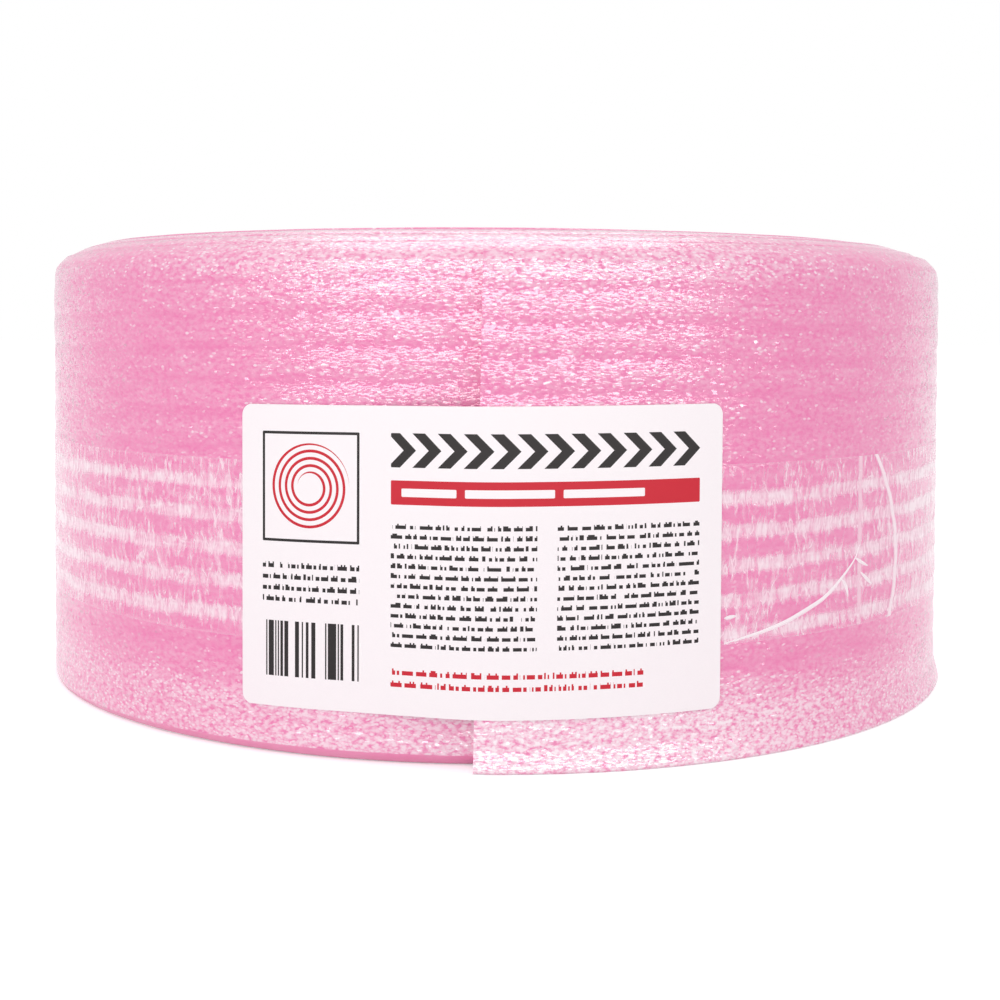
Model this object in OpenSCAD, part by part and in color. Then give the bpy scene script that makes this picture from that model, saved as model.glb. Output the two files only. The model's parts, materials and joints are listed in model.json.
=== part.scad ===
// Roll of ribbed foam sill plate gasket, standing on its end.
// Millimetres, +Z up. The origin is on the bore's axis, at the floor.
// The strip's outer end and the label face -Y.

/* [Foam strip] */
// Width of the strip, which is the height of the standing roll
strip_width = 190.5; // [140:0.5:300]
// Thickness of the strip over its ribs
strip_thickness = 6.35; // [5:0.05:10]
// Length of strip wound on the roll
strip_length = 15240; // [9000:10:24000]
// Distance from one lengthwise rib to the next
rib_pitch = 12.2; // [9:0.1:20]
// Width of the groove between two ribs
rib_groove_width = 7; // [3:0.1:8]
// Depth of the groove between two ribs
rib_groove_depth = 0.6; // [0.3:0.1:1.6]
// Height of the lowest groove above the strip's lower edge
rib_start = 10.6; // [4.2:0.1:12]

/* [Winding] */
// Bore through the middle of the roll
bore_diameter = 165; // [80:1:240]
// Air left between one turn and the next
winding_gap = 0.65; // [0.3:0.05:2]
// Width rounded off each slit edge of the strip
edge_rounding = 0.8; // [0.3:0.05:1.4]
// Depth of the line that shows between two turns on the roll's ends
turn_line_depth = 2; // [1:0.1:4]
// Drop of the outer turn's upper edge, where the roll is rounded off
shoulder_drop = 11; // [4:0.5:16]
// Width over which the outer turns rise to the full height
shoulder_width = 20; // [12:1:40]
// Radius of the curve over the outer turns
shoulder_radius = 40; // [30:1:120]

/* [Clear tape] */
// Width of the tape band
tape_width = 64.5; // [30:0.5:100]
// Height of the tape's lower edge above the roll's end
tape_base = 41.5; // [10:0.5:60]
// Thickness of the tape
tape_thickness = 0.25; // [0.15:0.01:0.5]
// Length over which the tape's end covers its start
tape_lap = 25; // [5:0.5:60]
// Distance round the roll from the label's right edge to the lap
tape_lap_offset = 71; // [10:1:150]

/* [Label] */
// Width of the label, measured round the roll
label_width = 180; // [80:1:240]
// Height of the label
label_height = 108.5; // [60:0.5:115]
// Thickness of the label
label_thickness = 0.25; // [0.15:0.01:0.5]
// Radius of the label's corners
label_corner = 4; // [1:0.5:15]
// Height of the label's lower edge above the roll's end
label_base = 18.5; // [5:0.5:24]
// Distance of the label's middle to the right of the strip's outer end
label_offset = -1.6; // [-15:0.1:15]
// Room between foam and tape, and between tape and label
seat_clearance = 0.1; // [0.05:0.01:0.3]

/* [Hidden] */
$fn = 240;

foam_pink = "#F08CBB";
film_clear = [0.95, 0.95, 0.97, 0.35];
paper_white = "#FBFAFA";

// The winding is a spiral of half turns. Each half turn is a true arc, and the arcs
// take turns between two centres, a quarter of the winding pitch either side of the axis.
winding_pitch = strip_thickness + winding_gap;
half_turn_drop = winding_pitch / 2;
centre_offset = winding_pitch / 4;

// Turns that use up the strip's length, from the bore outwards
bore_radius = bore_diameter / 2;
length_term = 2 * bore_radius + winding_pitch;
turns = (sqrt(pow(length_term, 2) + 4 * winding_pitch * strip_length / PI) - length_term)
    / (2 * winding_pitch);
roll_radius = bore_radius + winding_pitch * (turns + 1);

// Angles are measured anticlockwise seen from above, from +X
outer_end_angle = -90;
inner_end_angle = outer_end_angle + 360 * turns;
whole_half_turns = floor(2 * turns);
last_arc_angle = 180 * (2 * turns - whole_half_turns);

groove_room = strip_width - shoulder_drop - rib_start - rib_groove_width / 2;
groove_count = floor(groove_room / rib_pitch) + 1;
rib_groove_radius = (pow(rib_groove_width / 2, 2) + pow(rib_groove_depth, 2))
    / (2 * rib_groove_depth);

turn_line_width = winding_gap + 2 * edge_rounding;

// Middle of the curve over the outer turns, in from the outer face and down from the upper end
shoulder_chord = sqrt(pow(shoulder_width, 2) + pow(shoulder_drop, 2));
shoulder_reach = sqrt(pow(shoulder_radius, 2) - pow(shoulder_chord / 2, 2));
shoulder_in = shoulder_width / 2 + shoulder_reach * shoulder_drop / shoulder_chord;
shoulder_down = shoulder_drop / 2 + shoulder_reach * shoulder_width / shoulder_chord;

// Where the next turn drops off the strip's inner end it runs straight to the bore,
// a little steeper than the tangent.
inner_step_radius = bore_radius + winding_pitch;
inner_ramp_steepness = 0.8;
inner_ramp_angle = inner_ramp_steepness * acos(bore_radius / inner_step_radius);

tape_seat = seat_clearance;
lap_seat = tape_seat + tape_thickness;
label_seat = lap_seat + seat_clearance;

label_radius = roll_radius + label_seat;
label_half_angle = label_width / 2 / label_radius * 180 / PI;
label_chord = 2 * label_radius * sin(label_half_angle);
lap_start = label_offset + label_width / 2 + tape_lap_offset;
lap_start_angle = outer_end_angle + lap_start / label_radius * 180 / PI;
lap_end_angle = lap_start_angle + tape_lap / label_radius * 180 / PI;

// A sheet round the roll runs straight off the strip's outer end, and lands on the turn
// below with a slight crease, as if it ran on this much further than the tangent.
bridge_overrun = 1.2;

// The sides are swept solid to here, and the bore is cut out of them
blank_radius = bore_radius / 2;
// Cuts reach this far past the faces that they cut
cut_margin = 5;

// Outer radius and centre of the half turn with the given number, 0 being the outermost
function arc_radius(half_turn) = roll_radius - centre_offset - half_turn * half_turn_drop;
function arc_centre(half_turn) = [0, half_turn % 2 == 0 ? -centre_offset : centre_offset, 0];
function arc_start(half_turn) = outer_end_angle + 180 * (half_turn % 2);
function at_angle(radius, angle) = radius * [cos(angle), sin(angle)];

// How far the upper end is below the full height, at a distance in from the outer face
function shoulder_at(inset) = inset < shoulder_width
    ? shoulder_down - sqrt(pow(shoulder_radius, 2) - pow(shoulder_in - inset, 2))
    : 0;

// Section of the line between two turns, cut into both ends of the roll
module turn_line_section(radius, upper_drop) {
    half = turn_line_width / 2;
    translate([radius, 0])
        polygon([[-half, -cut_margin], [half, -cut_margin], [half, 0], [0, turn_line_depth], [-half, 0]]);
    translate([radius, strip_width - upper_drop])
        polygon([[-half, 0], [0, -turn_line_depth], [half, 0], [half, cut_margin], [-half, cut_margin]]);
}

// Section of what is missing above the curve over the outer turns
module shoulder_section(radius) {
    difference() {
        translate([radius - shoulder_width - cut_margin, strip_width - shoulder_drop - cut_margin])
            square([shoulder_width + 2 * cut_margin, shoulder_drop + 2 * cut_margin]);
        translate([radius - shoulder_in, strip_width - shoulder_down])
            circle(r = shoulder_radius);
    }
}

// Section of the roll through one side, with its ribs and with a line at each whole turn
module roll_section(first_half_turn) {
    radius = arc_radius(first_half_turn);
    difference() {
        translate([blank_radius, 0])
            square([radius - blank_radius, strip_width]);
        for (groove = [0 : groove_count - 1])
            translate([radius + rib_groove_radius - rib_groove_depth, rib_start + groove * rib_pitch])
                circle(r = rib_groove_radius);
        shoulder_section(radius);
        for (half_turn = [first_half_turn + 2 : 2 : whole_half_turns - 1])
            turn_line_section(arc_radius(half_turn), shoulder_at(radius - arc_radius(half_turn)));
    }
}

// One side of the roll, swept about its own centre
module roll_side(first_half_turn) {
    translate(arc_centre(first_half_turn))
        rotate_extrude(angle = 180, start = arc_start(first_half_turn))
            roll_section(first_half_turn);
}

// The line beside the last part turn, which stops at the strip's inner end
module last_turn_line() {
    translate(arc_centre(whole_half_turns))
        rotate_extrude(angle = last_arc_angle, start = arc_start(whole_half_turns))
            turn_line_section(arc_radius(whole_half_turns), 0);
}

// Step that the strip's inner end leaves in the bore
module inner_step() {
    inside = bore_radius - cut_margin;
    ramp_end = inner_end_angle + inner_ramp_angle;
    translate([0, 0, -cut_margin])
        linear_extrude(strip_width + 2 * cut_margin)
            polygon([
                at_angle(inside, inner_end_angle),
                at_angle(inner_step_radius, inner_end_angle),
                at_angle(bore_radius, ramp_end),
                at_angle(inside, ramp_end)
            ]);
}

module foam_roll() {
    color(foam_pink)
        difference() {
            union() {
                roll_side(0);
                roll_side(1);
            }
            translate([0, 0, -cut_margin])
                cylinder(r = bore_radius, h = strip_width + 2 * cut_margin);
            inner_step();
            last_turn_line();
        }
}

// Block with the outline of a taut sheet round the roll, at the given height above the foam
module taut_block(seat, height) {
    corner_radius = roll_radius + seat;
    left_radius = arc_radius(1) + seat;
    left_centre = [0, centre_offset];
    bridge_angle = bridge_overrun * acos(left_radius / (corner_radius + centre_offset));
    for (half_turn = [0, 1])
        translate(arc_centre(half_turn))
            rotate_extrude(angle = 180, start = arc_start(half_turn))
                square([arc_radius(half_turn) + seat, height]);
    linear_extrude(height)
        polygon([
            left_centre,
            [0, -corner_radius],
            left_centre + at_angle(left_radius, outer_end_angle - bridge_angle)
        ]);
}

// Room inside a sheet of the given height
module taut_room(seat, height) {
    translate([0, 0, -cut_margin])
        taut_block(seat, height + 2 * cut_margin);
}

// The part of a block of the given height that lies between two angles
module sector_block(start, end, height) {
    reach = 2 * roll_radius;
    linear_extrude(height)
        polygon([[0, 0], at_angle(reach, start), at_angle(reach, end)]);
}

module clear_tape() {
    color(film_clear)
        translate([0, 0, tape_base])
            difference() {
                union() {
                    taut_block(lap_seat, tape_width);
                    intersection() {
                        taut_block(lap_seat + tape_thickness, tape_width);
                        sector_block(lap_start_angle, lap_end_angle, tape_width);
                    }
                }
                taut_room(tape_seat, tape_width);
            }
}

// The label's outline with round corners, seen from the front
module label_outline() {
    inner_w = label_chord - 2 * label_corner;
    inner_h = label_height - 2 * label_corner;
    translate([-label_chord / 2, label_corner])
        square([label_chord, inner_h]);
    translate([-inner_w / 2, 0])
        square([inner_w, label_height]);
    for (x = [-inner_w / 2, inner_w / 2], z = [label_corner, label_height - label_corner])
        translate([x, z])
            circle(r = label_corner);
}

module label() {
    color(paper_white)
        translate([0, 0, label_base])
            difference() {
                intersection() {
                    taut_block(label_seat + label_thickness, label_height);
                    rotate([90, 0, 0])
                        linear_extrude(roll_radius + cut_margin)
                            translate([label_offset, 0])
                                label_outline();
                }
                taut_room(label_seat, label_height);
            }
}

foam_roll();
clear_tape();
label();
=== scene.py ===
"""Dresses a roll of sill plate gasket: its wound foam strip, clear tape and paper label."""

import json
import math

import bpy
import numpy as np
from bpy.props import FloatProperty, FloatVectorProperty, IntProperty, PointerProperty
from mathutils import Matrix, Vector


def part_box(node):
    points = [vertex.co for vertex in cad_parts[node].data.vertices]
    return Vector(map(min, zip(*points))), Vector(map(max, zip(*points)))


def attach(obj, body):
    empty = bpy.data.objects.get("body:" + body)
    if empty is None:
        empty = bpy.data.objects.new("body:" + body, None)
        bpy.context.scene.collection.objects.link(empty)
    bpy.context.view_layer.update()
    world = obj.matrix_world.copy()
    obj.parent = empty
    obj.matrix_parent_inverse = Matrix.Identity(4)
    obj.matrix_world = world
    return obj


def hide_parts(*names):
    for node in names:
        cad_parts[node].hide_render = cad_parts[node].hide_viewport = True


bl_info = {
    "name": "Sill Gasket Roll",
    "version": (1, 0, 0),
    "blender": (4, 5, 0),
    "location": "3D View > Sidebar > Gasket Roll",
    "description": "Builds a standing roll of ribbed foam gasket with its tape, label and studio",
    "category": "Object",
}

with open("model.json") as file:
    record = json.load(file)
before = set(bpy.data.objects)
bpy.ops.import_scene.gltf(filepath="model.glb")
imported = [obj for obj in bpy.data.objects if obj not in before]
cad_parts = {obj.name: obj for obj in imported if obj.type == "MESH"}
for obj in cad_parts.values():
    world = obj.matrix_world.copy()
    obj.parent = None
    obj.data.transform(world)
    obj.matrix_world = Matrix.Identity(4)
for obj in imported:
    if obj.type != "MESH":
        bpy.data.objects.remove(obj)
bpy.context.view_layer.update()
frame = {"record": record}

MM = 0.001
FOAM_LOW, FOAM_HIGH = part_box("foam_roll")
TAPE_LOW, TAPE_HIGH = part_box("clear_tape")
LABEL_LOW, LABEL_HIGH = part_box("label")
ROLL_RADIUS = -FOAM_LOW.y
ROLL_HEIGHT = FOAM_HIGH.z
BORE = next(mount for mount in frame["record"]["mounts"] if mount["name"] == "bore")
BORE_RADIUS = BORE["dims"]["r_mm"] * MM
# The strip's outer end is at the front, and its turns run anticlockwise seen from above
OUTER_END = -math.pi / 2
# Keeps a whole or half turn on its own side when turns are rounded down
TURN_MARGIN = 1e-9
# A taut sheet lands this much further than the tangent, with a slight crease
LANDING_OVERRUN = 1.2
# Arc to either side over which a draped sheet rounds off its bends, and the steps it is worked out in
DRAPE_ARC = 12 * MM
DRAPE_STEPS = 13
# How far the ribs stray from straight, and the height over which they do so together
RIB_STRAY, RIB_STRAY_HEIGHT = 0.9 * MM, 31 * MM
# Below 1 the ribs are full and the grooves narrow
RIB_FULLNESS = 0.7


def linear(code):
    """Linear colour of an sRGB hex value."""
    channels = [int(code[i:i + 2], 16) / 255 for i in (1, 3, 5)]
    return tuple(c / 12.92 if c <= 0.04045 else ((c + 0.055) / 1.055) ** 2.4 for c in channels)


def size(name, description, millimetres):
    """A length that the sidebar shows, given in millimetres."""
    return FloatProperty(
        name=name, description=description, default=millimetres * MM, unit="LENGTH", precision=4)


def tint(name, description, code):
    """A colour that the sidebar shows, given as an sRGB hex value."""
    return FloatVectorProperty(
        name=name, description=description, default=linear(code), subtype="COLOR", min=0, max=1)


class FoamStrip(bpy.types.PropertyGroup):
    """Sizes and colours of the wound foam strip."""

    thickness: size("Thickness", "Thickness of the strip over its ribs", 6.35)
    pitch: size("Winding pitch", "Distance from one turn to the next", 7.0)
    rib_pitch: size("Rib pitch", "Distance from one rib to the next", 12.2)
    rib_depth: size("Rib depth", "Depth of the groove between two ribs", 0.45)
    rib_start: size("Rib start", "Height of the lowest groove at the outer end", 8.6)
    rib_drift: size("Rib drift", "Rise of the ribs over one turn of the strip", 4.1)
    shoulder_drop: size("Shoulder drop", "Drop of the outer turn's upper edge", 11.0)
    shoulder_width: size("Shoulder width", "Width over which the outer turns rise", 20.0)
    shoulder_radius: size("Shoulder radius", "Radius of the curve over the outer turns", 40.0)
    edge_round: size("Edge rounding", "Rounding of the slit edges", 0.8)
    outer_round: size("Outer rounding", "Rounding of the outer turn's upper edge", 1.6)
    end_press: size("End press", "How far the outer end is pressed down", 2.6)
    pressed_edge: size("Pressed edge", "Slit edge pressed in under the outer end", 4.2)
    turn_gap: size("Turn gap", "Depth seen between two turns", 3.0)
    flare: size("Flare", "How far the lower edge of the outer turn splays out", 2.4)
    wander: size("Turn wander", "How far the inner turns stand back from the ends", 1.2)
    seam_lean: size("Seam lean", "Sideways lean of the outer end over its height", 2.8)
    columns: IntProperty(
        name="Columns", description="Mesh columns in one turn", default=216, min=48)
    rows: IntProperty(
        name="Rows", description="Mesh rows up the outer face", default=150, min=30)
    pink: tint("Foam", "Colour of the foam's skin", "#EE6EAD")
    # The frosted colour is also used for painted glints at the front and along the edges
    pale: tint("Frosted cells", "Colour of cells with a frosted skin", "#FFF0F7")
    deep: tint("Slit foam", "Colour of the slit edges", "#F28CB9")


class ClearTape(bpy.types.PropertyGroup):
    """Sizes and colours of the clear tape band."""

    film: size("Film", "Thickness of the film", 0.06)
    seat: size("Seat", "Room between the foam's ribs and the film", 0.12)
    sag: size("Sag", "How far the film dips between two ribs", 0.3)
    lap: size("Lap", "Length of the tape's end over its start", 30.3)
    lap_place: size("Lap place", "Arc from the front to the lap's left edge", 159.3)
    end_bow: size("End bow", "How far the tape's end is cut back at its upper edge", 18.0)
    fold: size("Fold", "Width of the largest pinched fold", 1.7)
    milky: tint("Haze", "Colour of film that doesn't touch the foam", "#FFF4F9")


class PaperLabel(bpy.types.PropertyGroup):
    """Sizes and colours of the printed label."""

    seat: size("Seat", "Room between the foam's ribs and the label", 0.4)
    paper: size("Paper", "Thickness of the paper", 0.14)
    width: size("Width", "Width measured round the roll", 180.0)
    offset: size("Offset", "Distance of its middle to the right of the strip's end", -1.6)
    corner: size("Corner", "Radius of the corners", 4.0)
    skew: FloatProperty(
        name="Skew", description="How far the label is stuck off square",
        default=math.radians(0.5), unit="ROTATION")
    white: tint("Paper", "Colour of the paper", "#FFF8FB")
    black: tint("Ink", "Colour of the dark print", "#231E20")
    red: tint("Second ink", "Colour of the bright print", "#CD1F33")


class Studio(bpy.types.PropertyGroup):
    """Camera, floor and light."""

    distance: size("Camera distance", "Distance from the roll's axis", 720.7)
    height: size("Camera height", "Height above the floor", 155.0)
    azimuth: FloatProperty(
        name="Camera azimuth", description="Angle to the right of the strip's outer end",
        default=math.radians(1.13), unit="ROTATION")
    pitch: FloatProperty(
        name="Camera pitch", description="Angle of the view below level",
        default=math.radians(2.0), unit="ROTATION")
    roll: FloatProperty(
        name="Camera roll", description="Angle of the camera about its view",
        default=math.radians(-0.28), unit="ROTATION")
    lens: FloatProperty(name="Lens", description="Focal length", default=54.08, unit="CAMERA")
    floor: tint("Floor", "Colour of the floor and backdrop", "#F4F4F4")
    ambient: FloatProperty(
        name="Room light", description="Strength of the light from all round", default=0.89)
    panel: FloatProperty(
        name="Panels", description="Brightness of the front panel in the roll's glints", default=5.2)
    fill: FloatProperty(
        name="Fill", description="Brightness of the soft light beside the camera", default=1.1)


def wobble(seed, *axes):
    """Smooth seeded unevenness between about -1 and 1, over any number of axes."""
    draw = np.random.default_rng(seed)
    total = 0
    for octave in (1.0, 1.9, 3.7, 6.1):
        inside = draw.uniform(0, 2 * math.pi)
        for axis in axes:
            inside = inside + octave * axis * draw.choice((-1, 1)) * draw.uniform(0.7, 1.3)
        total = total + np.sin(inside) / octave ** 0.7
    return total / 2.2


def ease(value, start, end):
    """0 before start, 1 after end, and a smooth rise between them."""
    share = np.clip((value - start) / (end - start), 0, 1)
    return share * share * (3 - 2 * share)


def wound_radius(turn):
    """Radius of the strip's outer face, counted in turns from its outer end."""
    pitch = bpy.context.scene.gasket_foam.pitch
    half = np.floor(2 * np.asarray(turn) + TURN_MARGIN)
    angle = OUTER_END + 2 * math.pi * np.asarray(turn)
    arc = ROLL_RADIUS - pitch / 4 - half * pitch / 2
    centre = np.where(half % 2 == 0, -pitch / 4, pitch / 4)
    return centre * np.sin(angle) + np.sqrt(arc ** 2 - (centre * np.cos(angle)) ** 2)


def taut_radius(turn, seat):
    """Radius of a sheet drawn tight round the roll, which runs straight off the outer end."""
    pitch = bpy.context.scene.gasket_foam.pitch
    turn = np.asarray(turn) % 1.0
    angle = OUTER_END + 2 * math.pi * turn
    corner = np.array([0, -ROLL_RADIUS - seat])
    arc = ROLL_RADIUS - 0.75 * pitch + seat
    reach = LANDING_OVERRUN * math.acos(arc / (ROLL_RADIUS + seat + pitch / 4))
    landing = np.array([-arc * math.sin(reach), pitch / 4 - arc * math.cos(reach)])
    run = landing - corner
    straight = (corner[0] * run[1] - corner[1] * run[0]) / (
        np.cos(angle) * run[1] - np.sin(angle) * run[0])
    landing_turn = 1 - math.atan2(-landing[0], -landing[1]) / (2 * math.pi)
    return np.where(turn > landing_turn, straight, wound_radius(turn) + seat)


def draped_radius(turn, seat):
    """Radius of a sheet round the roll that bends softly over the strip's outer end."""
    reach = DRAPE_ARC / (2 * math.pi * ROLL_RADIUS)
    shifts = np.linspace(-reach, reach, DRAPE_STEPS)
    return np.mean([taut_radius(turn + shift, seat) for shift in shifts], axis=0)


def upper_drop(turn, inset):
    """How far the upper slit edge is below the full height, at a distance in from its outer face."""
    foam = bpy.context.scene.gasket_foam
    chord = math.hypot(foam.shoulder_width, foam.shoulder_drop)
    reach = math.sqrt(foam.shoulder_radius ** 2 - chord ** 2 / 4)
    middle_in = foam.shoulder_width / 2 + reach * foam.shoulder_drop / chord
    middle_down = foam.shoulder_drop / 2 + reach * foam.shoulder_width / chord
    # The strip climbs from one turn's height to the next just after it passes the front
    begun = np.floor(turn + TURN_MARGIN)
    whole = np.maximum(begun - 1 + ease(turn - begun, 0, 0.3), 0)
    inside = np.minimum(whole * foam.pitch + inset, foam.shoulder_width)
    return middle_down - np.sqrt(foam.shoulder_radius ** 2 - (middle_in - inside) ** 2)


def groove_share(turn, height):
    """0 on the crest of a rib and 1 in the groove between two ribs."""
    foam = bpy.context.scene.gasket_foam
    along = turn * 2 * math.pi
    uneven = RIB_STRAY * wobble(11, 5 * along, height / RIB_STRAY_HEIGHT)
    phase = (height - foam.rib_start - foam.rib_drift * turn + uneven) / foam.rib_pitch
    return 1 - np.abs(np.sin(math.pi * phase)) ** RIB_FULLNESS


def front_share(turn):
    """1 at the front of the roll, and 0 from a seventh of a turn to either side of it."""
    return 1 - ease(np.abs((turn + 0.5) % 1.0 - 0.5), 0.04, 0.14)


class Cloud:
    """Points of a mesh, each with its place on the flat sheet and its finish."""

    def __init__(self):
        self.points = []
        self.places = []
        self.finishes = []
        self.faces = []
        self.count = 0

    def add(self, turn, radius, height, place, finish=(0, 0, 0)):
        """Adds points round the axis, and gives back their numbers."""
        turn, radius, height = np.broadcast_arrays(turn, radius, height)
        angle = OUTER_END + 2 * math.pi * turn
        shape = turn.shape
        here = np.stack([radius * np.cos(angle), radius * np.sin(angle), height], -1)
        self.points.append(here.reshape(-1, 3))
        for store, parts in ((self.places, place), (self.finishes, finish)):
            stacked = np.stack([np.broadcast_to(part, shape) for part in parts], -1)
            store.append(stacked.reshape(-1, 3))
        numbers = self.count + np.arange(turn.size).reshape(shape)
        self.count += turn.size
        return numbers

    def grid(self, numbers, flip=False):
        """Faces between the rows and columns of a grid of points."""
        corners = [numbers[:-1, :-1], numbers[1:, :-1], numbers[1:, 1:], numbers[:-1, 1:]]
        if flip:
            corners.reverse()
        self.faces.extend(np.stack(corners, -1).reshape(-1, 4).tolist())

    def shell(self, inside, outside):
        """Faces of a thin sheet with an inside and an outside, closed along its four edges."""
        self.grid(inside, flip=True)
        self.grid(outside)
        self.grid(np.stack([inside[:, 0], outside[:, 0]], 1), flip=True)
        self.grid(np.stack([inside[:, -1], outside[:, -1]], 1))
        self.grid(np.stack([inside[0], outside[0]]))
        self.grid(np.stack([inside[-1], outside[-1]]), flip=True)

    def mesh_piece(self, name, material):
        """The finished object."""
        mesh = bpy.data.meshes.new(name)
        mesh.from_pydata(np.concatenate(self.points), [], self.faces)
        for label, values in (("sheet_place", self.places), ("finish", self.finishes)):
            layer = mesh.attributes.new(label, "FLOAT_VECTOR", "POINT")
            layer.data.foreach_set("vector", np.concatenate(values).astype(np.float32).ravel())
        mesh.shade_smooth()
        mesh.set_sharp_from_angle(angle=math.radians(50))
        mesh.materials.append(material)
        piece = bpy.data.objects.new(name, mesh)
        bpy.context.scene.collection.objects.link(piece)
        return piece


def add_node(tree, kind, inputs=None, **settings):
    """Adds a node with its settings, and links or sets its inputs."""
    node = tree.nodes.new(kind)
    for name, value in settings.items():
        setattr(node, name, value)
    for name, value in (inputs or {}).items():
        if isinstance(value, bpy.types.NodeSocket):
            tree.links.new(value, node.inputs[name])
        else:
            node.inputs[name].default_value = value
    return node


def start_material(name):
    """An empty node material, and its tree."""
    material = bpy.data.materials.new(name)
    material.use_nodes = True
    material.node_tree.nodes.clear()
    return material, material.node_tree


def repeats(length, height):
    """Scale of a pattern that repeats at this length and height on the sheet, in millimetres."""
    return 1 / (length * MM), 1 / (height * MM), 1 / (height * MM)


def maths(tree, operation, *values, **settings):
    """What a node works out from numbers."""
    inputs = dict(enumerate(values))
    return add_node(tree, "ShaderNodeMath", inputs, operation=operation, **settings).outputs[0]


def vectors(tree, operation, *values):
    """What a node works out from vectors: a number for a length or a dot product, or else a vector."""
    node = add_node(tree, "ShaderNodeVectorMath", dict(enumerate(values)), operation=operation)
    return node.outputs["Value" if operation in ("LENGTH", "DOT_PRODUCT") else "Vector"]


def spread(tree, value, source, target=(0.0, 1.0), **settings):
    """A value taken from its place in one range to the same place in another."""
    inputs = {"Value": value, "From Min": source[0], "From Max": source[1],
              "To Min": target[0], "To Max": target[1]}
    return add_node(tree, "ShaderNodeMapRange", inputs, **settings).outputs[0]


def noise(tree, place, length, height, **inputs):
    """Noise with grains of this length and height on the sheet, in millimetres."""
    grains = vectors(tree, "MULTIPLY", place, repeats(length, height))
    textured = add_node(tree, "ShaderNodeTexNoise", {"Vector": grains, "Scale": 1.0, **inputs})
    return textured.outputs["Fac"]


def foam_material(foam):
    """Closed-cell polyethylene foam, extruded: a pink skin of small flat cells that glint."""
    material, tree = start_material("closed_cell_pe_foam")
    place = add_node(tree, "ShaderNodeAttribute", attribute_name="sheet_place").outputs["Vector"]
    finish = add_node(tree, "ShaderNodeAttribute", attribute_name="finish")
    parts = add_node(tree, "ShaderNodeSeparateXYZ", {0: finish.outputs["Vector"]})
    slit, wet, frost_and_glint = parts.outputs["X"], parts.outputs["Y"], parts.outputs["Z"]
    # Cells are about 1.7 mm long in the run of the strip and 0.9 mm across, in rows that wander
    wander = add_node(tree, "ShaderNodeTexNoise", {"Vector": place, "Scale": 1 / (6 * MM)})
    wandered = vectors(tree, "MULTIPLY_ADD", wander.outputs["Color"], (2.4 * MM, 2.4 * MM, 0), place)
    cell_space = vectors(tree, "MULTIPLY", wandered, repeats(1.7, 0.9))
    cells = add_node(tree, "ShaderNodeTexVoronoi", {
        "Vector": cell_space, "Scale": 1.0, "Randomness": 1.0}, feature="F1")
    # Patches 20 mm long and 5 mm high where the skin is smoother or more broken
    patches = noise(tree, place, 20, 5, Detail=2.0)
    broken = spread(tree, patches, (0.35, 0.65), (0.05, 0.18))
    # Film that sticks to the skin levels its facets, and the slit edges have no skin to shine
    bare = maths(tree, "MULTIPLY_ADD", wet, -0.5, 1.0)
    skin = maths(tree, "MULTIPLY_ADD", slit, -0.7, 1.0)
    # Each cell is a small facet that leans its own way, and a few lean far
    lean = vectors(tree, "MULTIPLY_ADD", cells.outputs["Color"], (2, 2, 2), (-1, -1, -1))
    reach = vectors(tree, "DOT_PRODUCT", lean, lean)
    far = maths(tree, "MULTIPLY_ADD", reach, 0.7, 0.4)
    rough = maths(tree, "MULTIPLY", broken, bare)
    tilt = maths(tree, "MULTIPLY", rough, far)
    push = add_node(tree, "ShaderNodeVectorMath", {0: lean, "Scale": tilt}, operation="SCALE")
    shape = add_node(tree, "ShaderNodeNewGeometry")
    leaning = vectors(tree, "ADD", shape.outputs["Normal"], push.outputs[0])
    facet = vectors(tree, "NORMALIZE", leaning)
    # Each cell swells a little between its walls
    swell = maths(tree, "POWER", cells.outputs["Distance"], 2.0)
    bump = add_node(tree, "ShaderNodeBump", {
        "Height": swell, "Strength": bare, "Distance": 0.1 * MM, "Normal": facet}, invert=True)
    # A share of the cells has a frosted skin, and shows as pale flecks; the flecks added at the front
    # and along the edges are painted glints
    chance = add_node(tree, "ShaderNodeTexWhiteNoise", {"Vector": cells.outputs["Position"]})
    spare = maths(tree, "SUBTRACT", frost_and_glint, chance.outputs["Value"])
    chosen = spread(tree, spare, (0.0, 0.2))
    round_off = spread(tree, cells.outputs["Distance"], (0.35, 0.8), (0.75, 0.0))
    fleck = maths(tree, "MULTIPLY", chosen, round_off)
    plain = add_node(tree, "ShaderNodeMix", {
        "Factor": slit, "A": (*foam.pink, 1), "B": (*foam.deep, 1)}, data_type="RGBA")
    # The pink pales a little in the broken patches, and more where it is rubbed or carries painted
    # glints
    faded = spread(tree, patches, (0.35, 0.65), (0.0, 0.07))
    # Rubbed skin and painted glints are mottled, in spots about 2.4 mm long and 1.6 mm high
    spots = noise(tree, place, 2.4, 1.6, Detail=2.0)
    mottle = spread(tree, spots, (0.38, 0.62), (0.05, 0.95))
    worn_and_glint = maths(tree, "MULTIPLY_ADD", frost_and_glint, mottle, faded)
    paler = maths(tree, "MAXIMUM", fleck, worn_and_glint, use_clamp=True)
    colour = add_node(tree, "ShaderNodeMix", {
        "Factor": paler, "A": plain.outputs["Result"], "B": (*foam.pale, 1)}, data_type="RGBA")
    shader = add_node(tree, "ShaderNodeBsdfPrincipled", {
        "Base Color": colour.outputs["Result"], "Roughness": 0.7, "IOR": 1.5,
        "Specular IOR Level": 0.2, "Sheen Weight": 0.42, "Sheen Roughness": 0.4,
        "Coat Weight": skin, "Coat Roughness": 0.12, "Coat IOR": 1.7,
        "Coat Normal": bump.outputs[0]})
    add_node(tree, "ShaderNodeOutputMaterial", {"Surface": shader.outputs[0]})
    return material


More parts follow.
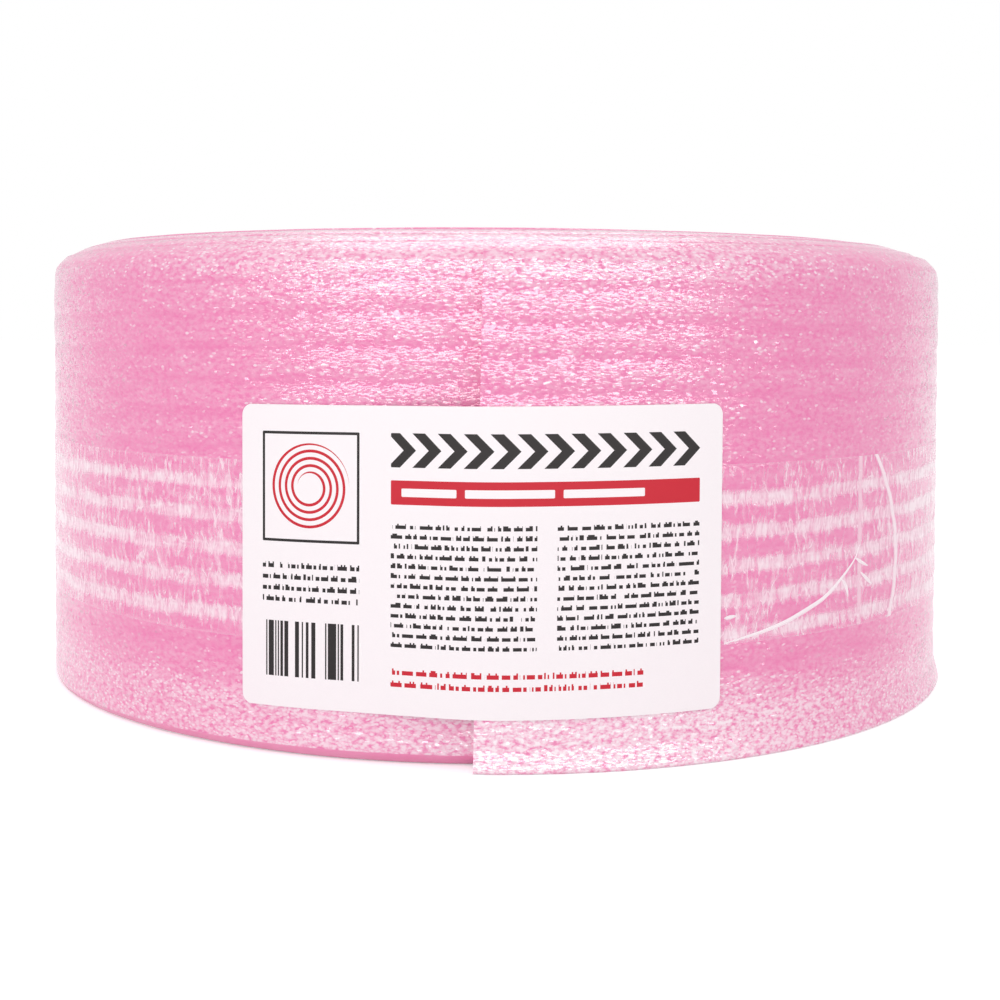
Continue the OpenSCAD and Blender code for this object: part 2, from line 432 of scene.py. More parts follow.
def film_material(tape):
    """Clear packing film: all but unseen where it sticks, milky where it spans a groove."""
    material, tree = start_material("clear_pp_packing_film")
    place = add_node(tree, "ShaderNodeAttribute", attribute_name="sheet_place").outputs["Vector"]
    finish = add_node(tree, "ShaderNodeAttribute", attribute_name="finish")
    parts = add_node(tree, "ShaderNodeSeparateXYZ", {0: finish.outputs["Vector"]})
    # Its first channel is the span of the grooves with the looser film past the sides, which is partly
    # painted sheen
    span, fold, hidden = parts.outputs["X"], parts.outputs["Y"], parts.outputs["Z"]
    # The glue lets go in upright wisps, about 2 mm wide and 6 mm high
    wisps = noise(tree, place, 2, 6, Detail=3.0, Distortion=0.5)
    loose_and_sheen = maths(tree, "MULTIPLY_ADD", wisps, 3.0, span)
    # Runs about 18 mm long where more or less of a groove is hazed
    runs = noise(tree, place, 18, 8)
    looser_and_sheen = maths(tree, "MULTIPLY_ADD", runs, 2.0, loose_and_sheen)
    haze = spread(tree, looser_and_sheen, (2.5, 4.1), (0.03, 0.85))
    # Fine upright creases, 4.5 mm apart and 13 mm high, gather in the looser runs
    creases = noise(tree, place, 4.5, 13, Detail=2.0)
    off_level = maths(tree, "SUBTRACT", creases, 0.5)
    aside = maths(tree, "ABSOLUTE", off_level)
    crease = spread(tree, aside, (0.012, 0.04), (0.7, 0.0))
    gathered = spread(tree, looser_and_sheen, (2.3, 3.0))
    creased = maths(tree, "MULTIPLY", crease, gathered)
    hazed = maths(tree, "MAXIMUM", haze, creased)
    most = maths(tree, "MAXIMUM", hazed, fold, use_clamp=True)
    seen = maths(tree, "SUBTRACT", 1.0, hidden)
    cover = maths(tree, "MULTIPLY", most, seen)
    shader = add_node(tree, "ShaderNodeBsdfPrincipled", {
        "Base Color": (*tape.milky, 1), "Roughness": 0.22, "IOR": 1.49, "Alpha": cover})
    add_node(tree, "ShaderNodeOutputMaterial", {"Surface": shader.outputs[0]})
    return material


# Generic print of the label, in millimetres from its lower left corner: left, low, right, top
DARK_BARS = (
    (9, 59.5, 48, 60.5), (9, 98, 48, 99), (9, 59.5, 10, 99), (47, 59.5, 48, 99),
)
CHEVRON_FIELD = (60, 87, 171, 99)
CHEVRON_STEP = 9.25
RED_BARS = ((60, 74, 171, 82.5),)
WHITE_BARS = ((64, 76.8, 84, 79.7), (87, 76.8, 118, 79.7), (121, 76.8, 150, 79.7))
# Blocks of word-like bars: left, low, right, top, number of lines, ink
TEXT_BLOCKS = (
    (60, 24, 112, 69, 13, "black"),
    (119, 24, 171, 69, 13, "black"),
    (60, 10, 150, 18.5, 2, "red"),
    (9, 38, 48, 54, 4, "black"),
)
# Height of a short stroke and what a tall one adds, as shares of a line
SHORT_STROKE, TALLER_BY = 0.36, 0.16
# Random values between 0 and 1 above and below which a stroke is tall or missing
TALL_ABOVE, MISSING_BELOW = 0.75, 0.18
# Distance between strokes and length of a word, then half a word's gap as a share of that length
STROKE_STEP, WORD_LENGTH, WORD_GAP = 0.6, 5, 0.1
# Words on the next line are shifted by this many word lengths
LINE_SHIFT = 17.3
STRIPE_FIELD = (9, 11, 48, 31)
STRIPE_STEP = 0.55
# Middle of the drawn roll, the distance between its turns, its bore and its rim
SPIRAL_MIDDLE = (28.5, 79.25)
SPIRAL_PITCH, SPIRAL_BORE, SPIRAL_RIM = 2.6, 5.0, 15.6
# Share of the distance between turns that is inked
SPIRAL_INK_SHARE = 0.4
# Colour that paper fibre shades towards
FIBRE_SHADE = "#BCB3B6"


def paper_material(label):
    """Satin coated paper, offset printed: white and even, with thin flat ink."""
    material, tree = start_material("satin_coated_paper")
    place = add_node(tree, "ShaderNodeAttribute", attribute_name="sheet_place")
    finish = add_node(tree, "ShaderNodeAttribute", attribute_name="finish")
    face = add_node(tree, "ShaderNodeSeparateXYZ", {0: finish.outputs["Vector"]}).outputs["X"]
    flat = vectors(tree, "MULTIPLY", place.outputs["Vector"], (1 / MM, 1 / MM, 0))
    ways = add_node(tree, "ShaderNodeSeparateXYZ", {0: flat})

    def inside(box, corner=0.4):
        """1 inside a box with round corners, and 0 outside it."""
        left, low, right, top = box
        from_middle = vectors(tree, "SUBTRACT", flat, ((left + right) / 2, (low + top) / 2, 0))
        apart = vectors(tree, "ABSOLUTE", from_middle)
        past = vectors(
            tree, "SUBTRACT", apart, ((right - left) / 2 - corner, (top - low) / 2 - corner, 1))
        beyond = vectors(tree, "MAXIMUM", past, (0, 0, 0))
        reach = vectors(tree, "LENGTH", beyond)
        return maths(tree, "LESS_THAN", reach, corner)

    inks = {"black": [inside(box) for box in DARK_BARS], "red": [inside(box) for box in RED_BARS]}
    for left, low, right, top, lines, ink in TEXT_BLOCKS:
        rise = spread(tree, ways.outputs["Y"], (low, top), (0.0, float(lines)), clamp=False)
        line = maths(tree, "FLOOR", rise)
        height = maths(tree, "FRACT", rise)
        # Strokes close together, some of them taller, so that a line reads as small print
        column = maths(tree, "SNAP", ways.outputs["X"], STROKE_STEP)
        cell = add_node(tree, "ShaderNodeCombineXYZ", {"X": column, "Y": line})
        stroke = add_node(tree, "ShaderNodeTexWhiteNoise", {"Vector": cell.outputs[0]})
        tall = maths(tree, "GREATER_THAN", stroke.outputs["Value"], TALL_ABOVE)
        limit = maths(tree, "MULTIPLY_ADD", tall, TALLER_BY, SHORT_STROKE)
        filled = maths(tree, "GREATER_THAN", stroke.outputs["Value"], MISSING_BELOW)
        low_enough = maths(tree, "LESS_THAN", height, limit)
        bar = maths(tree, "MULTIPLY", low_enough, filled)
        # Words break in other places on each line
        run = maths(tree, "MULTIPLY", ways.outputs["X"], 1 / WORD_LENGTH)
        shifted = maths(tree, "MULTIPLY_ADD", line, LINE_SHIFT, run)
        words = add_node(tree, "ShaderNodeTexVoronoi", {
            "W": shifted, "Scale": 1.0}, voronoi_dimensions="1D", feature="DISTANCE_TO_EDGE")
        word = maths(tree, "GREATER_THAN", words.outputs["Distance"], WORD_GAP)
        barred = maths(tree, "MULTIPLY", bar, word)
        inks[ink].append(maths(tree, "MULTIPLY", barred, inside((left, low, right, top))))

    # Row of chevrons across the head of the label
    left, low, right, top = CHEVRON_FIELD
    above = maths(tree, "SUBTRACT", ways.outputs["Y"], (low + top) / 2)
    off_middle = maths(tree, "ABSOLUTE", above)
    slanted = maths(tree, "ADD", off_middle, ways.outputs["X"])
    chevrons = maths(tree, "MULTIPLY", slanted, 1 / CHEVRON_STEP)
    chevron = maths(tree, "FRACT", chevrons)
    dark_half = maths(tree, "LESS_THAN", chevron, 0.5)
    # The row stops after its last whole chevron
    begun = maths(tree, "LESS_THAN", slanted, right)
    whole = maths(tree, "MULTIPLY", dark_half, begun)
    inks["black"].append(maths(tree, "MULTIPLY", whole, inside(CHEVRON_FIELD)))

    # Field of plain upright stripes
    step = maths(tree, "SNAP", ways.outputs["X"], STRIPE_STEP)
    chance = add_node(tree, "ShaderNodeTexWhiteNoise", {"W": step}, noise_dimensions="1D")
    stripe = maths(tree, "GREATER_THAN", chance.outputs["Value"], 0.5)
    inks["black"].append(maths(tree, "MULTIPLY", stripe, inside(STRIPE_FIELD)))

    # A roll seen from its end
    spiral_from = vectors(tree, "SUBTRACT", flat, (*SPIRAL_MIDDLE, 0))
    reach = vectors(tree, "LENGTH", spiral_from)
    spiral_ways = add_node(tree, "ShaderNodeSeparateXYZ", {0: spiral_from})
    bearing = maths(tree, "ARCTAN2", spiral_ways.outputs["Y"], spiral_ways.outputs["X"])
    turned = maths(tree, "MULTIPLY", bearing, 1 / (2 * math.pi))
    wound = maths(tree, "MULTIPLY_ADD", reach, 1 / SPIRAL_PITCH, turned)
    turn = maths(tree, "FRACT", wound)
    thread = maths(tree, "LESS_THAN", turn, SPIRAL_INK_SHARE)
    in_rim = maths(tree, "LESS_THAN", reach, SPIRAL_RIM)
    past_bore = maths(tree, "GREATER_THAN", reach, SPIRAL_BORE)
    ring = maths(tree, "MULTIPLY", in_rim, past_bore)
    inks["red"].append(maths(tree, "MULTIPLY", thread, ring))
    inks["white"] = [inside(box) for box in WHITE_BARS]

    # Paper fibre is far finer than this; it is drawn 0.8 mm long so that it shows
    fibre = noise(tree, place.outputs["Vector"], 0.8, 0.5, Detail=2.0)
    shade = spread(tree, fibre, (0.3, 0.7), (0.0, 0.035))
    colour = add_node(tree, "ShaderNodeMix", {
        "Factor": shade, "A": (*label.white, 1), "B": (*linear(FIBRE_SHADE), 1)},
        data_type="RGBA").outputs["Result"]
    for ink in ("black", "red", "white"):
        cover, *others = inks[ink]
        for mark in others:
            cover = maths(tree, "MAXIMUM", mark, cover)
        printed = maths(tree, "MULTIPLY", cover, face)
        colour = add_node(tree, "ShaderNodeMix", {
            "Factor": printed, "A": colour, "B": (*getattr(label, ink), 1)},
            data_type="RGBA").outputs["Result"]
    bump = add_node(tree, "ShaderNodeBump", {
        "Height": fibre, "Strength": 0.15, "Distance": 0.05 * MM})
    shader = add_node(tree, "ShaderNodeBsdfPrincipled", {
        "Base Color": colour, "Roughness": 0.42, "IOR": 1.5, "Specular IOR Level": 0.25,
        "Normal": bump.outputs[0]})
    add_node(tree, "ShaderNodeOutputMaterial", {"Surface": shader.outputs[0]})
    return material


# Small unevenness of the slit edges and of the outer face
EDGE_RIPPLE = 0.12 * MM
DENT_DEPTH, DENT_HEIGHT = 0.12 * MM, 19 * MM
# Arc over which the outer end is pressed down, the share of the press at its foot, and what the
# share gains up to its top
PRESS_ARC = 12 * MM
PRESS_FOOT, PRESS_GAIN = 0.85, 0.5
# Height over which the lower edge splays, and how the upper edge curls in
FLARE_HEIGHT = 16 * MM
CURL_DEPTH, CURL_HEIGHT = 0.7 * MM, 9 * MM
# Shares of cells that are frosted: everywhere, then what rubbing adds on the rib crests, and rubbing
# with painted glints along the lower and the upper edge, each with the painted glints that the front
# or the outer end adds
FROST_ALL = 0.06
CREST_RUB, CREST_GLINT_FRONT = 0.05, 0.15
LOW_RUB_AND_GLINT, LOW_GLINT_END = 0.35, 0.48
LOW_RUB_AND_GLINT_FULL, LOW_RUB_AND_GLINT_GONE = 14 * MM, 34 * MM
HIGH_RUB_AND_GLINT, HIGH_GLINT_FRONT = 0.1, 0.35
HIGH_RUB_AND_GLINT_FADE = 8 * MM
# Turns over which the painted glints by the outer end fade, and the weaker painted glints on the turn
# beside that end
END_GLINT_TURNS = (0.04, 0.15)
BESIDE_GLINT, BESIDE_GLINT_TURNS = 0.35, (0.88, 0.97)
# Film that sticks to the foam wets it, which hides this share of the frosted cells and of the painted
# glints
WET_HIDES = 0.5
# Shares of frosted cells on the slit edges: all of them, then what rubbing with painted glints adds
# over the upper shoulder, the painted glints added there at the front, and rubbing with painted glints
# along the outer end's lower edge
SLIT_FROST = 0.03
SHOULDER_RUB_AND_GLINT, SHOULDER_GLINT_FRONT = 0.12, 0.45
LOW_EDGE_RUB_AND_GLINT = 0.8
# Turns over which the rubbing and painted glints of the upper and the lower slit edges give way to
# clean foam
UPPER_CLEAN, LOWER_CLEAN = (3, 4.5), (0.3, 0.6)
# Depth of a gap between rubbed turns, and how much of the slit face they show, as shares
RUBBED_GAP, RUBBED_SLIT = 0.35, 0.5
# Mesh rows up the inside of the bore
BORE_ROWS = 25


def slit_edges(turn):
    """Heights of the strip's lower and upper slit edges along its winding."""
    foam = bpy.context.scene.gasket_foam
    inside = ease(turn, 1.0, 1.6)
    along = turn * 2 * math.pi
    back = foam.wander * inside * (0.5 + 0.5 * wobble(3, 0.31 * along))
    ripple = EDGE_RIPPLE * (1 + wobble(5, 4.0 * along))
    low = 0.6 * back + ripple
    high = ROLL_HEIGHT - back - EDGE_RIPPLE * (1 + wobble(7, 5.0 * along))
    return low, high


class GASKET_OT_wind_foam(bpy.types.Operator):
    """Wind the ribbed foam strip into its roll"""

    bl_idname = "gasket.wind_foam"
    bl_label = "Wind Foam"

    def execute(self, context):
        foam = context.scene.gasket_foam
        per_turn = foam.columns
        turns = (ROLL_RADIUS - BORE_RADIUS) / foam.pitch - 1
        last = int(turns * per_turn)
        turn = np.arange(last + 1) / per_turn
        outer = wound_radius(turn)
        low, high = slit_edges(turn)
        arc = np.cumsum(outer) * 2 * math.pi / per_turn
        press = foam.end_press * np.clip(1 - arc / PRESS_ARC, 0, 1) ** 2
        cloud = Cloud()

        def lean(height):
            """Turn by which the strip's outer end leans at a height."""
            return foam.seam_lean / (2 * math.pi * ROLL_RADIUS) * (height / ROLL_HEIGHT - 0.5)

        def add(turn_here, radius, height, place, finish):
            """Adds points that lean with the outer end."""
            return cloud.add(turn_here + lean(height), radius, height, place, finish)

        # The lower edge under the strip's outer end is pressed in, and shows its slit face
        low_round = foam.edge_round + (foam.pressed_edge - foam.edge_round) * (
            ease(turn, 0.72, 1.0) * (1 - ease(turn, 1.02, 1.3)))

        # Outer face, with its ribs
        first = turn[:per_turn + 1, None]
        share = np.linspace(0, 1, foam.rows + 1)[None, :]
        bottom = (low + low_round)[:per_turn + 1, None]
        high_round = foam.edge_round + (foam.outer_round - foam.edge_round) * (
            1 - ease(turn, 0.9, 1.3))
        top = (high - upper_drop(turn, 0) - high_round)[:per_turn + 1, None]
        height = bottom + share * (top - bottom)
        groove = groove_share(first, height)
        dent = DENT_DEPTH * wobble(13, 9 * first * 2 * math.pi, height / DENT_HEIGHT)
        splay = foam.flare * (1 - ease(first, 0.2, 0.45)) * (
            np.clip(1 - height / FLARE_HEIGHT, 0, 1) ** 2)
        from_top = top - height
        curl = CURL_DEPTH * np.clip(1 - from_top / CURL_HEIGHT, 0, 1) ** 2
        # The tape and the label press the outer end down, and its free lower edge less
        pressed = press[:per_turn + 1, None] * (PRESS_FOOT + PRESS_GAIN * share)
        radius = (outer[:per_turn + 1, None] - pressed - foam.rib_depth * groove
                  - np.abs(dent) + splay - curl)
        taped = (ease(height, TAPE_LOW.z - MM, TAPE_LOW.z + MM)
                 * (1 - ease(height, TAPE_HIGH.z - MM, TAPE_HIGH.z + MM)))
        wet = taped * (1 - ease(groove, 0.25, 0.5))
        # Rib crests and both edges are rubbed and carry painted glints as pale flecks, most of all at
        # the front and by the outer end's foot
        front = front_share(first)
        front_end_glint = 1 - ease(first, *END_GLINT_TURNS) + BESIDE_GLINT * ease(first, *BESIDE_GLINT_TURNS)
        lower_rub_and_glint = (LOW_RUB_AND_GLINT + LOW_GLINT_END * front_end_glint) * (
            1 - ease(height, LOW_RUB_AND_GLINT_FULL, LOW_RUB_AND_GLINT_GONE))
        upper_rub_and_glint = (HIGH_RUB_AND_GLINT + HIGH_GLINT_FRONT * front) * np.exp(-from_top / HIGH_RUB_AND_GLINT_FADE)
        crest_rub_and_glint = (CREST_RUB + CREST_GLINT_FRONT * front) * (1 - groove)
        frost_and_glint = (FROST_ALL + crest_rub_and_glint + lower_rub_and_glint + upper_rub_and_glint) * (1 - WET_HIDES * wet)
        face = add(first, radius, height, (arc[:per_turn + 1, None], height, 0), (0, wet, frost_and_glint))
        cloud.grid(face)

        # Slit edges: how far across its rounding each point is, and how far it drops
        across = np.array([0, 0.02, 0.3, 1.0, -1.0, -0.3, 0])
        drop = np.array([1.0, 0.94, 0.3, 0, 0, 0.3, 1.0])
        outward = np.arange(across.size) < 4
        gap_inset = (foam.thickness + foam.pitch) / 2
        ends = []
        for edge, side, rounding in ((high, -1, high_round), (low, 1, low_round)):
            curve = np.where(outward, rounding[:, None], foam.edge_round)
            inset = across * curve + np.where(outward, 0, foam.thickness)
            height = edge[:, None] + side * drop * curve
            # The outer turn's edges follow its face in and out
            follow = -press
            follow[:per_turn + 1] = (radius - outer[:per_turn + 1, None])[:, -1 if side < 0 else 0]
            # The upper shoulder and the outer end's lower edge are rubbed and carry painted glints
            # like the face
            clean = ease(turn, *(UPPER_CLEAN if side < 0 else LOWER_CLEAN))
            rub_and_glint = SHOULDER_RUB_AND_GLINT + SHOULDER_GLINT_FRONT * front_share(turn) if side < 0 else LOW_EDGE_RUB_AND_GLINT
            slit_frost_and_glint = SLIT_FROST + rub_and_glint * (1 - clean)
            gap_height = edge + side * foam.turn_gap * (RUBBED_GAP + (1 - RUBBED_GAP) * clean)
            if side < 0:
                height = height - upper_drop(turn[:, None], inset)
                gap_height = gap_height - upper_drop(turn, gap_inset)
            cut = RUBBED_SLIT + (1 - RUBBED_SLIT) * clean
            ribbon = add(turn[:, None], outer[:, None] + follow[:, None] * outward - inset, height,
                         (arc[:, None], height, inset), (cut[:, None], 0, slit_frost_and_glint[:, None]))
            ribbon[:per_turn + 1, 0] = face[:, -1] if side < 0 else face[:, 0]
            covered = slice(0, last - per_turn + 1)
            gap = add(turn[covered], outer[covered] - gap_inset, gap_height[covered],
                      (arc[covered], gap_height[covered], foam.thickness),
                      (cut[covered], 0, slit_frost_and_glint[covered]))
            cloud.grid(ribbon, flip=side > 0)
            valley = np.stack([ribbon[:last - per_turn + 1, -1], gap, ribbon[per_turn:, 0]], 1)
            cloud.grid(valley, flip=side > 0)
            ends.append((ribbon, gap))
        (top_edge, top_gap), (low_edge, low_gap) = ends

        # Inner face of the innermost turn
        core = slice(last - per_turn, last + 1)
        share = np.linspace(0, 1, BORE_ROWS)[None, :]
        bottom = (low + foam.edge_round)[core, None]
        top = (high - foam.edge_round)[core, None]
        height = bottom + share * (top - bottom)
        bore = add(turn[core, None], (outer - foam.thickness)[core, None], height,
                   (arc[core, None], height, foam.thickness), (0, 0, 0))
        bore[:, -1] = top_edge[core, -1]
        bore[:, 0] = low_edge[core, -1]
        cloud.grid(bore, flip=True)

        # Cut faces at the strip's outer and inner ends
        cloud.grid(np.stack([face[-1], face[0]]))
        cloud.faces.append([face[-1, -1], face[0, -1], *top_edge[0, 1:], top_gap[0]])
        cloud.faces.append([face[0, 0], face[-1, 0], low_gap[0], *low_edge[0, :0:-1]])
        cloud.grid(np.stack([bore[0], bore[-1]]))
        cloud.faces.append([bore[0, -1], bore[-1, -1], *top_edge[-1, -2::-1], top_gap[-1]])
        cloud.faces.append([bore[-1, 0], bore[0, 0], low_gap[-1], *low_edge[-1, :-1]])

        piece = cloud.mesh_piece("foam_winding", foam_material(foam))
        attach(piece, "root")
        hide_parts("foam_roll")
        return {"FINISHED"}


# Large folds of the film right of the label: share of the full width, then arc and height in mm
FOLDS = (
    (1.0, ((90, 42), (114, 46), (129, 51), (139, 54.5), (150, 62), (157, 67.5), (159, 72))),
    (0.8, ((156, 67.5), (160.5, 65.2), (165, 63.5))),
    (1.0, ((148, 60), (151, 57), (152, 53))),
    (0.9, ((160, 61.5), (168, 56))),
    (0.9, ((90, 51), (95, 51.5))),
)
# Lines along the film's edges: how milky, then the distances where they start to fade and are gone
START_LINE = (0.55, 0.8 * MM, 2 * MM)
END_LINE = (0.85, 2 * MM, 4.5 * MM)
SIDE_LINE = (0.18, 0.4 * MM, 1.2 * MM)
# Height of the bow's foremost point, as a share of the film's width
BOW_MIDDLE = 0.36
# How much looser and hazier the film is past the sides of the roll, a haze that also stands as painted
# sheen there, and the turns over which it gets so
BACK_SLACK_AND_SHEEN, SLACK_AND_SHEEN_TURNS = 0.35, (0.11, 0.19)


def edge_line(line, distance):
    """How milky a line along the film's edge is, at a distance from it."""
    milky, fading, gone = line
    return milky * (1 - ease(distance, fading, gone))


def add_fold(cloud, path, width):
    """A pinched ridge of film along a path of arc and height points."""
    tape = bpy.context.scene.gasket_tape
    # Cutting the corners three times leaves a smooth curve
    for _ in range(3):
        near, far = 0.75 * path[:-1] + 0.25 * path[1:], 0.25 * path[:-1] + 0.75 * path[1:]
        path = np.concatenate([path[:1], np.stack([near, far], 1).reshape(-1, 2), path[-1:]])
    reach = np.concatenate([[0], np.cumsum(np.hypot(*np.diff(path, axis=0).T))])
    along = np.linspace(0, reach[-1], max(5, int(reach[-1] / (1.5 * MM))))
    arc = np.interp(along, reach, path[:, 0])
    height = np.interp(along, reach, path[:, 1])
    run, rise = np.gradient(arc), np.gradient(height)
    long = np.hypot(run, rise)
    swell = width * np.clip(np.sin(math.pi * along / reach[-1]), 0.12, 1) ** 0.6
    aside = np.array([-0.5, 0, 0.5]) * swell[:, None]
    wide_arc = arc[:, None] - aside * (rise / long)[:, None]
    wide_height = height[:, None] + aside * (run / long)[:, None]
    turn = wide_arc / (2 * math.pi * ROLL_RADIUS)
    lift = np.array([0, 0.25, 0]) * swell[:, None]
    ridge = cloud.add(turn, draped_radius(turn, tape.seat + 3 * tape.film) + lift, wide_height,
                      (wide_arc, wide_height, 0), (0, 1, 0))
    cloud.grid(ridge[:, [0, 1, 2, 0]])
    cloud.faces.append(ridge[0].tolist())
    cloud.faces.append(ridge[-1, ::-1].tolist())


class GASKET_OT_wrap_tape(bpy.types.Operator):
    """Wrap the clear tape round the roll"""

    bl_idname = "gasket.wrap_tape"
    bl_label = "Wrap Tape"

    def execute(self, context):
        tape = context.scene.gasket_tape
        around = 2 * math.pi * ROLL_RADIUS
        tall = TAPE_HIGH.z - TAPE_LOW.z
        # Columns and rows lie closer along the film's edges
        close = np.array([0, 0.7, 1.4, 2.2]) * MM
        near = np.arange(7) * 0.8 * MM
        steps = np.sort(np.concatenate([
            near, np.linspace(0, around, 300)[2:-2],
            around - tape.lap + near - near[3], around - near]))[:, None]
        rises = np.concatenate([
            close, np.linspace(0, tall, 53)[2:-2], tall - close[::-1]])[None, :]
        height = TAPE_LOW.z + rises
        # The film's far end was torn with a bow; the film is drawn as one layer from there
        from_end = np.minimum(steps, around - steps)
        bow_middle = BOW_MIDDLE * tall
        bow = tape.end_bow * ((rises - bow_middle) / (tall - bow_middle)) ** 2
        arc = tape.lap_place + tape.lap + steps - (1 - ease(from_end, 0, 0.95 * tape.lap)) * bow
        run = arc / around
        groove = groove_share(run % 1.0, height)
        # It spans the grooves, and is looser towards the back, where its haze is partly painted sheen;
        # its upper edge lies flat
        span = ease(groove, 0.1, 0.5) * ease(tall - rises, 2 * MM, 9 * MM)
        slack_and_sheen = BACK_SLACK_AND_SHEEN * ease(np.abs((run + 0.5) % 1.0 - 0.5), *SLACK_AND_SHEEN_TURNS)
        # Its start shows as a step under the last stretch
        to_start = steps - (around - tape.lap)
        over = ease(to_start, -0.4 * MM, 0.4 * MM)
        radius = draped_radius(run, tape.seat) - tape.sag * span + over * 2 * tape.film
        ends = np.maximum(
            edge_line(START_LINE, np.abs(to_start)), edge_line(END_LINE, around - steps))
        edge = np.maximum(ends, edge_line(SIDE_LINE, np.minimum(rises, tall - rises)))
        cloud = Cloud()
        place, loose_and_sheen = (arc, height, 0), span + slack_and_sheen
        inside = cloud.add(run, radius, height, place, (loose_and_sheen, edge, 1))
        outside = cloud.add(run, radius + tape.film, height, place, (loose_and_sheen, edge, 0))
        cloud.shell(inside, outside)
        for share, path in FOLDS:
            add_fold(cloud, np.array(path) * MM, share * tape.fold)
        piece = cloud.mesh_piece("tape_band", film_material(tape))
        # Hazed film scatters light on to the foam rather than shading it
        piece.visible_shadow = False
        piece.visible_diffuse = False
        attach(piece, "root")
        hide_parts("clear_tape")
        return {"FINISHED"}


class GASKET_OT_stick_label(bpy.types.Operator):
    """Stick the printed label on the front of the roll"""

    bl_idname = "gasket.stick_label"
    bl_label = "Stick Label"

    def execute(self, context):
        label = context.scene.gasket_label
        around = 2 * math.pi * ROLL_RADIUS
        height = LABEL_HIGH.z - LABEL_LOW.z
        bend = np.linspace(0, math.pi / 2, 9)
        low_rows = label.corner * (1 - np.cos(bend))
        rows = np.concatenate([
            low_rows, np.linspace(label.corner, height - label.corner, 45)[1:-1],
            height - low_rows[::-1]])[None, :]
        from_end = np.minimum(rows, height - rows)
        dip = np.clip(label.corner - from_end, 0, None)
        half = label.width / 2 - label.corner + np.sqrt(label.corner ** 2 - dip ** 2)
        across = np.linspace(-1, 1, 121)[:, None] * half
        turn = (across + label.offset) / around
        radius = draped_radius(turn, label.seat)
        stuck = rows + LABEL_LOW.z + across * math.tan(label.skew)
        cloud = Cloud()
        place = (across + label.width / 2, rows, 0)
        inside = cloud.add(turn, radius, stuck, place)
        outside = cloud.add(turn, radius + label.paper, stuck, place, (1, 0, 0))
        cloud.shell(inside, outside)
        piece = cloud.mesh_piece("paper_label", paper_material(label))
        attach(piece, "root")
        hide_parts("label")
        return {"FINISHED"}


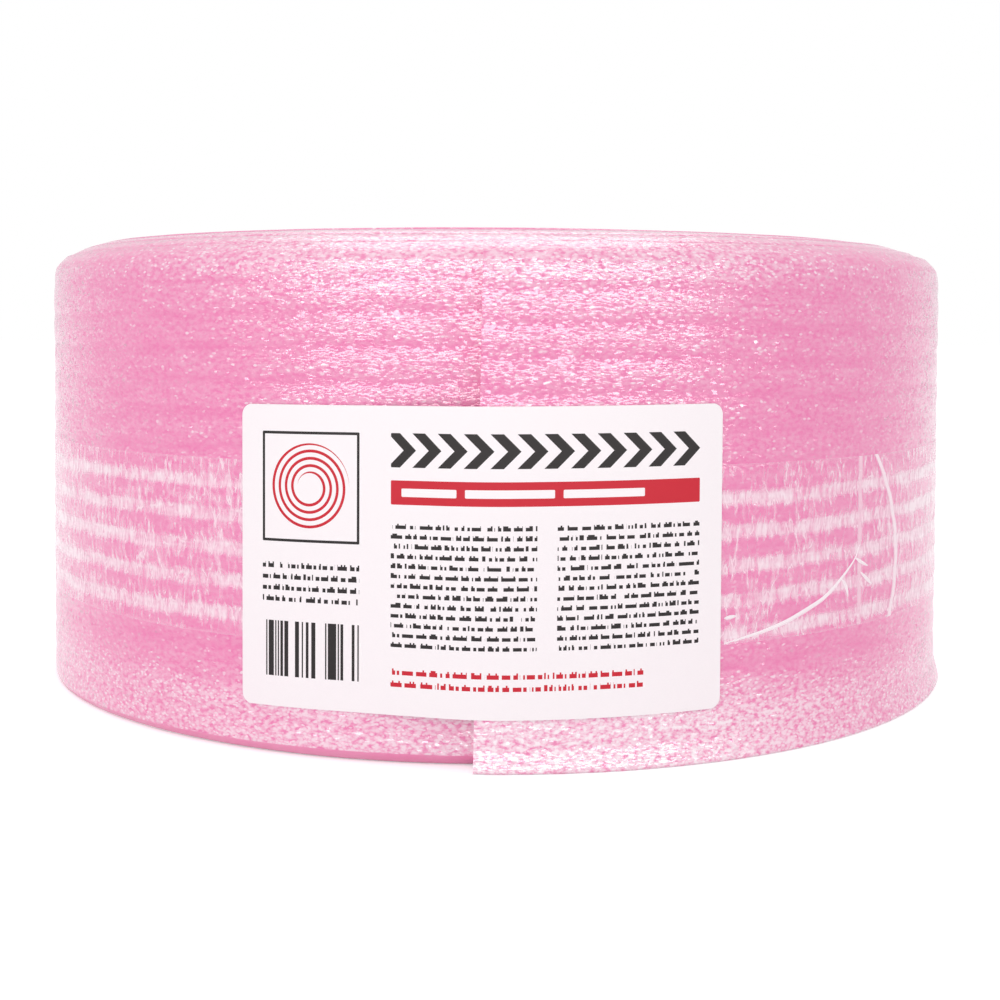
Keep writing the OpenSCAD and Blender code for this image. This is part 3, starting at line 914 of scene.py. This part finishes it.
class GASKET_OT_set_stage(bpy.types.Operator):
    """Set the floor, the light and the camera"""

    bl_idname = "gasket.set_stage"
    bl_label = "Set Stage"

    def execute(self, context):
        studio = context.scene.gasket_studio
        scene = context.scene
        scene.view_settings.view_transform = "Standard"

        # Floor: pale card that keeps the roll's shadow, and glows just enough to be seen white
        card_glow = 0.4
        material, tree = start_material("pale_card")
        path = add_node(tree, "ShaderNodeLightPath")
        card = add_node(tree, "ShaderNodeBsdfDiffuse", {"Color": (*studio.floor, 1)})
        eyed = maths(tree, "ADD", path.outputs["Is Camera Ray"], path.outputs["Is Glossy Ray"])
        lift = maths(tree, "MULTIPLY", eyed, card_glow)
        glow = add_node(tree, "ShaderNodeEmission", {
            "Color": (1, 1, 1, 1), "Strength": lift})
        both = add_node(tree, "ShaderNodeAddShader", {0: card.outputs[0], 1: glow.outputs[0]})
        add_node(tree, "ShaderNodeOutputMaterial", {"Surface": both.outputs[0]})
        half = 12.0
        mesh = bpy.data.meshes.new("floor_card")
        mesh.from_pydata([(-half, -half, 0), (half, -half, 0), (half, half, 0), (-half, half, 0)],
                         [], [(0, 1, 2, 3)])
        mesh.materials.append(material)
        floor = bpy.data.objects.new("floor_card", mesh)
        scene.collection.objects.link(floor)

        # Room: an even white, seen and reflected at strength 1
        world = bpy.data.worlds.new("white_room")
        world.use_nodes = True
        tree = world.node_tree
        tree.nodes.clear()
        path = add_node(tree, "ShaderNodeLightPath")
        glossy = maths(tree, "ADD", path.outputs["Is Camera Ray"], path.outputs["Is Glossy Ray"])
        seen = maths(tree, "ADD", glossy, path.outputs["Is Transmission Ray"], use_clamp=True)
        room = add_node(tree, "ShaderNodeBackground", {
            "Color": (1, 1, 1, 1), "Strength": studio.ambient})
        white = add_node(tree, "ShaderNodeBackground", {"Color": (1, 1, 1, 1), "Strength": 1.0})
        mixed = add_node(tree, "ShaderNodeMixShader", {
            0: seen, 1: room.outputs[0], 2: white.outputs[0]})
        add_node(tree, "ShaderNodeOutputWorld", {"Surface": mixed.outputs[0]})
        scene.world = world

        # Soft panels that the foam's facets mirror, a little warm, and a plain fill beside the camera:
        # name, width, height, place, aim, brightness and colour
        warm, plain = (1.0, 0.98, 0.9), (1.0, 1.0, 1.0)
        for name, wide, tall, place, aim, bright, colour in (
                ("front_panel", 2.5, 0.3, (0.05, -1.25, 0.39), (0, 0, 0.1), studio.panel, warm),
                ("wide_panel", 4.6, 0.3, (0, -1.3, 0.39), (0, 0, 0.1), 0.35 * studio.panel, warm),
                ("upper_panel", 0.9, 1.1, (0, 0.35, 1.3), (0, 0.1, 0.19), 0.7 * studio.panel, warm),
                ("front_fill", 1.6, 1.2, (-0.7, -2.1, 1.0), (0, 0, 0.1), studio.fill, plain)):
            lamp = bpy.data.lights.new(name, "AREA")
            lamp.shape = "RECTANGLE"
            lamp.size = wide
            lamp.size_y = tall
            lamp.color = colour
            lamp.energy = bright * math.pi * wide * tall
            panel = bpy.data.objects.new(name, lamp)
            panel.location = place
            panel.rotation_euler = (Vector(aim) - panel.location).to_track_quat("-Z", "Y").to_euler()
            panel.visible_diffuse = name == "front_fill"
            panel.visible_glossy = name != "front_fill"
            scene.collection.objects.link(panel)

        data = bpy.data.cameras.new("photo_camera")
        data.lens = studio.lens
        data.sensor_width = 36
        data.shift_x = 0.0091
        data.shift_y = -0.1226
        data.clip_start = 0.01
        camera = bpy.data.objects.new("photo_camera", data)
        camera.location = (studio.distance * math.sin(studio.azimuth),
                           -studio.distance * math.cos(studio.azimuth), studio.height)
        camera.rotation_euler = (math.pi / 2 - studio.pitch, studio.roll, studio.azimuth)
        scene.collection.objects.link(camera)
        scene.camera = camera
        return {"FINISHED"}


class GASKET_PT_sidebar(bpy.types.Panel):
    """Lists the roll's sizes, colours and steps"""

    bl_idname = "GASKET_PT_sidebar"
    bl_label = "Gasket Roll"
    bl_space_type = "VIEW_3D"
    bl_region_type = "UI"
    bl_category = "Gasket Roll"

    def draw(self, context):
        layout = self.layout
        for group, operator in STEPS:
            box = layout.box()
            settings = getattr(context.scene, group)
            for name in settings.__annotations__:
                box.prop(settings, name)
            box.operator(operator)


GROUPS = {
    "gasket_foam": FoamStrip,
    "gasket_tape": ClearTape,
    "gasket_label": PaperLabel,
    "gasket_studio": Studio,
}
STEPS = (
    ("gasket_foam", "gasket.wind_foam"),
    ("gasket_tape", "gasket.wrap_tape"),
    ("gasket_label", "gasket.stick_label"),
    ("gasket_studio", "gasket.set_stage"),
)
CLASSES = (
    *GROUPS.values(),
    GASKET_OT_wind_foam,
    GASKET_OT_wrap_tape,
    GASKET_OT_stick_label,
    GASKET_OT_set_stage,
    GASKET_PT_sidebar,
)


def register():
    for each in CLASSES:
        bpy.utils.register_class(each)
    for name, group in GROUPS.items():
        setattr(bpy.types.Scene, name, PointerProperty(type=group))


def unregister():
    for name in GROUPS:
        delattr(bpy.types.Scene, name)
    for each in reversed(CLASSES):
        bpy.utils.unregister_class(each)


def main():
    register()
    bpy.ops.gasket.wind_foam()
    bpy.ops.gasket.wrap_tape()
    bpy.ops.gasket.stick_label()
    bpy.ops.gasket.set_stage()


if __name__ == "__main__":
    main()
